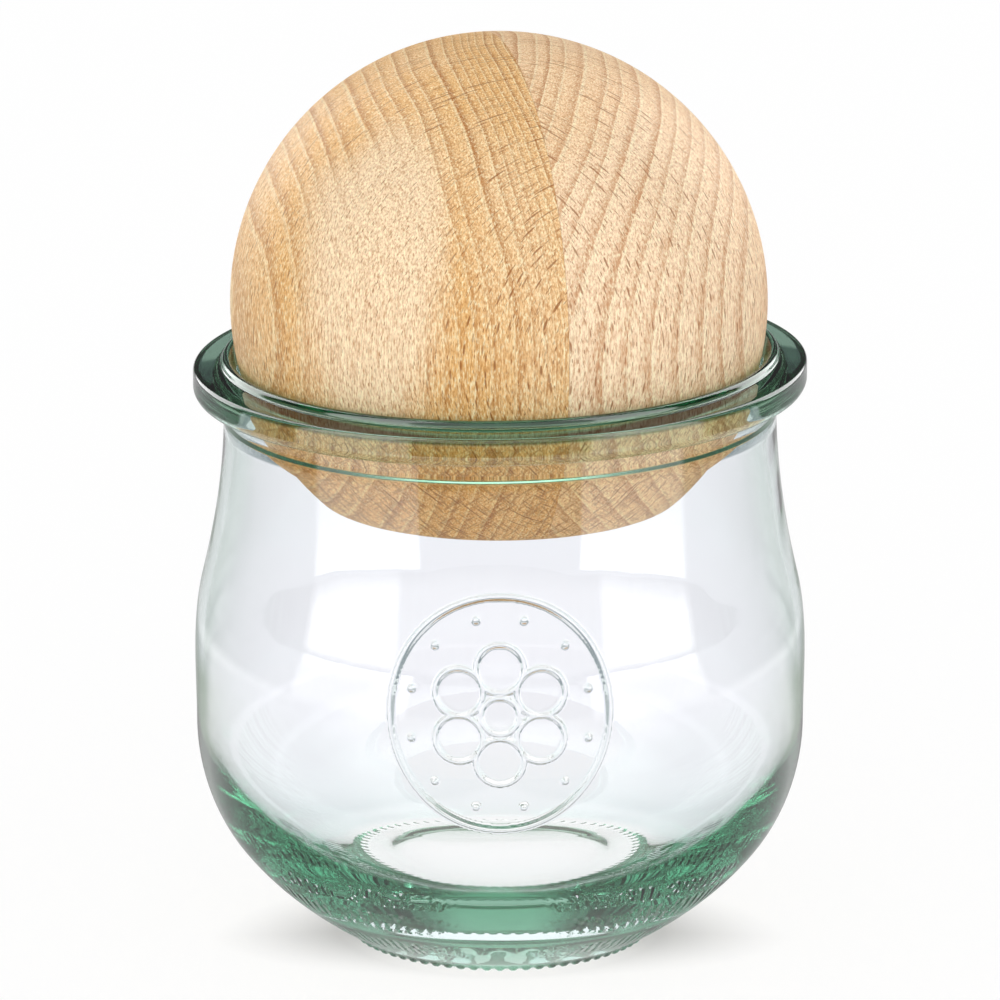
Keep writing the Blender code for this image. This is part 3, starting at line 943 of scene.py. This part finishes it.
# What the floor and the world light matte surfaces with, straight and by way of the glass
FLOOR_LIGHTS_WOOD = (0.88, 0.87, 0.84, 1.0)
FLOOR_LIGHTS_JAR = (1.12, 0.90, 0.60, 1.0)
SKY_LIGHTS_JAR = (3.0, 2.50, 1.78, 1.0)
SKY_TOP = 0.66
SKY_FRONT = 1.45
SKY_REAR = 0.80
SKY_TURN = (-0.6, 0.9)

# World mirrored by the outside of the glass: panels with gaps between them, by degrees round and height
PANEL = 5.0
GAP = 0.10
FRONT_LIGHT = 1.8
PANEL_START = (38.0, 42.0)
PANEL_END = (80.0, 75.0)
REAR_PANEL_START = (112.0, 118.0)
REAR_PANEL_END = (160.0, 150.0)
PANEL_TOP = (0.97, 0.92)
PANEL_FOOT = (-0.02, 0.04)

# World seen through the glass, and by way of mirroring inside it: stripes, a lamp and greener edges
SKY_THROUGH_GLASS = (0.98, 0.94, 1.0, 1.0)
SKY_DARK_GREEN = (0.08, 0.13, 0.08, 1.0)
SKY_GREEN_HEIGHT = (0.10, 0.22)
STRIPE_SCALE = 0.45
STRIPES = (0.44, 0.56, 0.02, 1.45)
STRIPES_UP = (0.25, 0.60, 1.0, 0.35)
STRIPES_TO_SIDE = (90.0, 125.0, 0.20, 1.0)
STRIPES_TO_REAR = (140.0, 155.0, 1.0, 0.20)
LAMP_IN_EDGES = (110.0, 60.0, 0.0, 3.2)
LAMP_HEIGHT = (0.35, 0.55)
EDGE_GREEN = (0.66, 0.82, 0.76, 1.0)
EDGE_GREEN_TURN = (80.0, 95.0)
EDGE_REAR = (1.30, 1.08, 1.15, 1.0)
EDGE_REAR_TURN = (156.0, 174.0)


def ray_kinds(n):
    """What an arriving ray does: seen by the camera, lighting a matte surface, mirrored, through glass."""
    path = n("ShaderNodeLightPath").outputs
    lights = n.math("GREATER_THAN", path["Diffuse Depth"], 0.5)
    mirrored = n.math("GREATER_THAN", path["Glossy Depth"], 0.5)
    return path["Is Camera Ray"], lights, mirrored, path["Is Transmission Ray"]


def floor_shadow(n, north, away):
    """How white the camera sees the floor: a soft shadow round the foot, widest at both sides."""
    towards_back = n.math("DIVIDE", north, n.math("MAXIMUM", away, 1 / MM))
    reach = n.product(
        n.remap(towards_back, *SHADOW_FRONT, smooth=True), n.remap(towards_back, *SHADOW_REAR), SHADOW_REACH
    )
    left_over = n.math("SUBTRACT", reach, n.math("MULTIPLY_ADD", away, MM, -SHADOW_START))
    left_over = n.math("MINIMUM", n.math("MAXIMUM", left_over, 0.0), reach)
    shade = n.math("DIVIDE", n.math("POWER", left_over, SHADOW_POWER), n.math("SQRT", reach))
    return n.product(n.math("MULTIPLY_ADD", shade, -SHADOW_DEPTH, 1.0), FLOOR_WHITE)


def floor_straight(n, beside, away):
    """The floor as the glass shows it straight through its walls."""
    sides = n.mix(n.remap(away, *BELLY_EDGE), FLOOR_THROUGH_SIDES, FLOOR_THROUGH_EDGES)
    sides = n.mix(n.remap(away, *NECK_SIDE), sides, FLOOR_THROUGH_NECK)
    sides = n.mix(n.remap(away, *NECK_EDGE), sides, FLOOR_THROUGH_EDGES)
    straight = n.mix(n.remap(beside, *BESIDE_JAR, smooth=True), FLOOR_THROUGH_GLASS, sides)
    straight = n.mix(n.remap(away, *UNDER_JAR, smooth=True), straight, FLOOR_UNDER_JAR)
    return n.mix(n.remap(away, *BEYOND_RIM, smooth=True), straight, FLOOR_BEYOND_RIM)


def floor_in_edges(n, turn, away):
    """What the walls' edges, the base and the rim show of the floor by mirroring inside the glass."""
    path = n("ShaderNodeLightPath").outputs
    belly = n.mix(n.remap(turn, *BELLY_REAR), FLOOR_IN_BELLY, FLOOR_THROUGH_NECK)
    belly = n.mix(n.remap(turn, *BELLY_SIDE), belly, FLOOR_THROUGH_SIDES)
    walls = n.mix(n.remap(path["Ray Length"], *NECK_RAY_LENGTH), belly, FLOOR_IN_NECK)
    walls = n.mix(n.remap(away, *NEAR_JAR), walls, FLOOR_IN_RIM)
    walls = n.mix(n.remap(away, *IN_FOOT), walls, FLOOR_IN_FOOT)
    walls = n.mix(n.remap(away, *IN_BASE_FRONT), walls, FLOOR_IN_BASE_FRONT)
    rim = n.mix(n.remap(away, *IN_RIM_ENDS), FLOOR_IN_RIM, FLOOR_IN_RIM_ENDS)
    rim = n.mix(n.remap(away, *IN_BASE), rim, FLOOR_IN_BASE)
    # A ray is mirrored more than once in the thick rim and base
    return n.mix(n.math("GREATER_THAN", path["Glossy Depth"], 1.5), walls, rim)


def floor_mirrored(n, turn, away):
    """The glass mirrors the bright table near it, and beyond the table's edge the panels' lower ends."""
    panel = n.product(
        n.remap(turn, *LOW_PANEL_START, smooth=True),
        n.remap(turn, *LOW_PANEL_END, smooth=True),
        n.remap(away, *LOW_PANEL_LEVEL),
    )
    rear = n.product(n.remap(turn, *REAR_TURN), n.remap(away, *REAR_END))
    far = n.product(n.remap(turn, *FAR_TURN), n.remap(away, *FAR_START))
    beyond = n.math("MULTIPLY_ADD", rear, TABLE_REAR - TABLE_GAP, TABLE_GAP)
    beyond = n.math("MULTIPLY_ADD", far, n.math("SUBTRACT", TABLE_FAR, beyond), beyond)
    beyond = n.math("ADD", beyond, panel)
    table = n.remap(turn, *TABLE_TURN, TABLE_MIRRORED, TABLE_REAR)
    edge = n.remap(away, *TABLE_EDGE, smooth=True)
    mirror = n.math("MULTIPLY_ADD", edge, n.math("SUBTRACT", beyond, table), table)
    near = n.remap(turn, *NEAR_FOOT_TURN, NEAR_FOOT_FRONT, NEAR_FOOT_SIDES)
    return n.grey(n.product(mirror, n.remap(away, *NEAR_FOOT, near, 1.0)))


def build_floor():
    """Pale floor. Its white comes from its own glow, so that the light on the object stays free."""
    half = FLOOR_SIZE / 2
    corners = [(-half, -half, 0), (half, -half, 0), (half, half, 0), (-half, half, 0)]
    mesh = bpy.data.meshes.new("floor")
    mesh.from_pydata(corners, [], [(0, 1, 2, 3)])
    floor = add("floor", mesh)
    floor.location.z = -FLOOR_DROP
    material, n = new_material("floor")
    camera, lights, mirrored, through_glass = ray_kinds(n)
    place = n("ShaderNodeTexCoord").outputs["Object"]
    flat = n.vector("MULTIPLY", place, (1.0, 1.0, 0.0))
    away = n.length(flat)
    east, north, _ = n.split(flat)
    turn = n.degrees_round(east, north)
    in_glass = n.mix(through_glass, floor_mirrored(n, turn, away), floor_in_edges(n, turn, away))
    glow = n.mix(mirrored, floor_straight(n, n.math("ABSOLUTE", east), away), in_glass)
    glow = n.mix(camera, glow, n.grey(floor_shadow(n, north, away)))
    glow = n.mix(lights, glow, n.mix(through_glass, FLOOR_LIGHTS_WOOD, FLOOR_LIGHTS_JAR))
    matte = n.mix(n.math("MAXIMUM", camera, lights), BLACK, FLOOR_MATTE)
    matte = n("ShaderNodeBsdfDiffuse", {"Color": matte}).outputs[0]
    glow = n("ShaderNodeEmission", {"Color": glow, "Strength": 1.0}).outputs[0]
    both = n("ShaderNodeAddShader", {0: matte, 1: glow}).outputs[0]
    n("ShaderNodeOutputMaterial", {"Surface": both})
    mesh.materials.append(material)


def sky_mirrored(n, turn, z):
    """The studio that the outside of the glass mirrors: a light front, and panels with gaps between."""
    panel = n.product(n.remap(turn, *PANEL_START, smooth=True), n.remap(turn, *PANEL_END, smooth=True))
    rear = n.product(
        n.remap(turn, *REAR_PANEL_START, smooth=True), n.remap(turn, *REAR_PANEL_END, smooth=True)
    )
    tall = n.product(n.remap(z, *PANEL_TOP, smooth=True), n.remap(z, *PANEL_FOOT))
    front = n.product(n.remap(turn, *PANEL_START[::-1], smooth=True), tall)
    studio = n.math("MULTIPLY_ADD", front, FRONT_LIGHT - GAP, GAP)
    panel = n.product(n.math("MAXIMUM", panel, rear), tall)
    return n.grey(n.math("MULTIPLY_ADD", panel, PANEL - GAP, studio))


def sky_in_edges(n, turn, z):
    """Seen by way of the thick glass: narrow upright stripes, light and dark, and a lamp in front."""
    place = {"W": n.product(turn, STRIPE_SCALE), "Scale": 1.0, "Detail": 2.0}
    stripe = n("ShaderNodeTexNoise", place, noise_dimensions="1D").outputs[0]
    level = n.product(
        n.remap(stripe, *STRIPES), n.remap(z, *STRIPES_UP),
        n.remap(turn, *STRIPES_TO_SIDE), n.remap(turn, *STRIPES_TO_REAR),
    )
    lamp = n.product(n.remap(turn, *LAMP_IN_EDGES), n.remap(z, *LAMP_HEIGHT))
    edges = n.grey(n.math("ADD", level, lamp))
    edges = n.mix(n.remap(turn, *EDGE_GREEN_TURN), edges, EDGE_GREEN, "MULTIPLY")
    return n.mix(n.remap(turn, *EDGE_REAR_TURN, smooth=True), edges, EDGE_REAR)


def build_world():
    """White for the camera; soft front light for the wood; what the glass mirrors is a studio."""
    world = bpy.data.worlds.new("studio")
    bpy.context.scene.world = world
    world.use_nodes = True
    n = Nodes(world.node_tree)
    camera, lights, mirrored, through_glass = ray_kinds(n)
    x, y, z = n.split(n("ShaderNodeTexCoord").outputs["Generated"])
    turn = n.degrees_round(x, y)
    straight = n.mix(n.remap(z, *SKY_GREEN_HEIGHT, smooth=True), SKY_THROUGH_GLASS, SKY_DARK_GREEN)
    in_glass = n.mix(through_glass, sky_mirrored(n, turn, z), sky_in_edges(n, turn, z))
    colour = n.mix(camera, n.mix(mirrored, straight, in_glass), WHITE)
    # The light on matte surfaces: frontal near the horizon, and of its own level from above
    level = n.math("SQRT", n.math("SUBTRACT", 1.0, n.product(z, z)))
    frontal = n.remap(n.product(y, -1.0), *SKY_TURN, SKY_REAR, SKY_FRONT, smooth=True)
    above = n.product(n.math("SUBTRACT", 1.0, level), SKY_TOP)
    soft = n.grey(n.math("ADD", n.product(frontal, level), above))
    colour = n.mix(lights, colour, n.mix(through_glass, soft, SKY_LIGHTS_JAR))
    back = n("ShaderNodeBackground", {"Color": colour, "Strength": 1.0}).outputs[0]
    n("ShaderNodeOutputWorld", {"Surface": back})


# Camera, fitted to the photograph: it looks from the front at a place on the jar's axis
CAMERA_ELEVATION = radians(15.94)
CAMERA_DISTANCE = 1.5856
CAMERA_PIVOT_HEIGHT = 0.0743
CAMERA_AIM_HEIGHT = 0.0796
CAMERA_SENSOR = 36.0
CAMERA_LENS = 319.3
CAMERA_CLIP = (0.05, 50.0)


def build_camera():
    """The camera at the photograph's angle and distance."""
    data = bpy.data.cameras.new("camera")
    data.sensor_width = CAMERA_SENSOR
    data.lens = CAMERA_LENS
    data.clip_start, data.clip_end = CAMERA_CLIP
    camera = bpy.data.objects.new("camera", data)
    bpy.context.scene.collection.objects.link(camera)
    back = Vector((0.0, -cos(CAMERA_ELEVATION), sin(CAMERA_ELEVATION)))
    camera.location = back * CAMERA_DISTANCE + Vector((0.0, 0.0, CAMERA_PIVOT_HEIGHT))
    aim = Vector((0.0, 0.0, CAMERA_AIM_HEIGHT)) - camera.location
    camera.rotation_euler = aim.to_track_quat("-Z", "Y").to_euler()
    bpy.context.scene.camera = camera


build_floor()
build_world()
build_camera()

# Light passes many faces of the jar before it reaches the floor, the ball or the world
MAX_BOUNCES = 36
GLASS_BOUNCES = 24
DIFFUSE_BOUNCES = 4

scene = bpy.context.scene
scene.view_settings.view_transform = "Standard"
scene.cycles.max_bounces = MAX_BOUNCES
scene.cycles.transmission_bounces = GLASS_BOUNCES
scene.cycles.glossy_bounces = GLASS_BOUNCES
scene.cycles.diffuse_bounces = DIFFUSE_BOUNCES
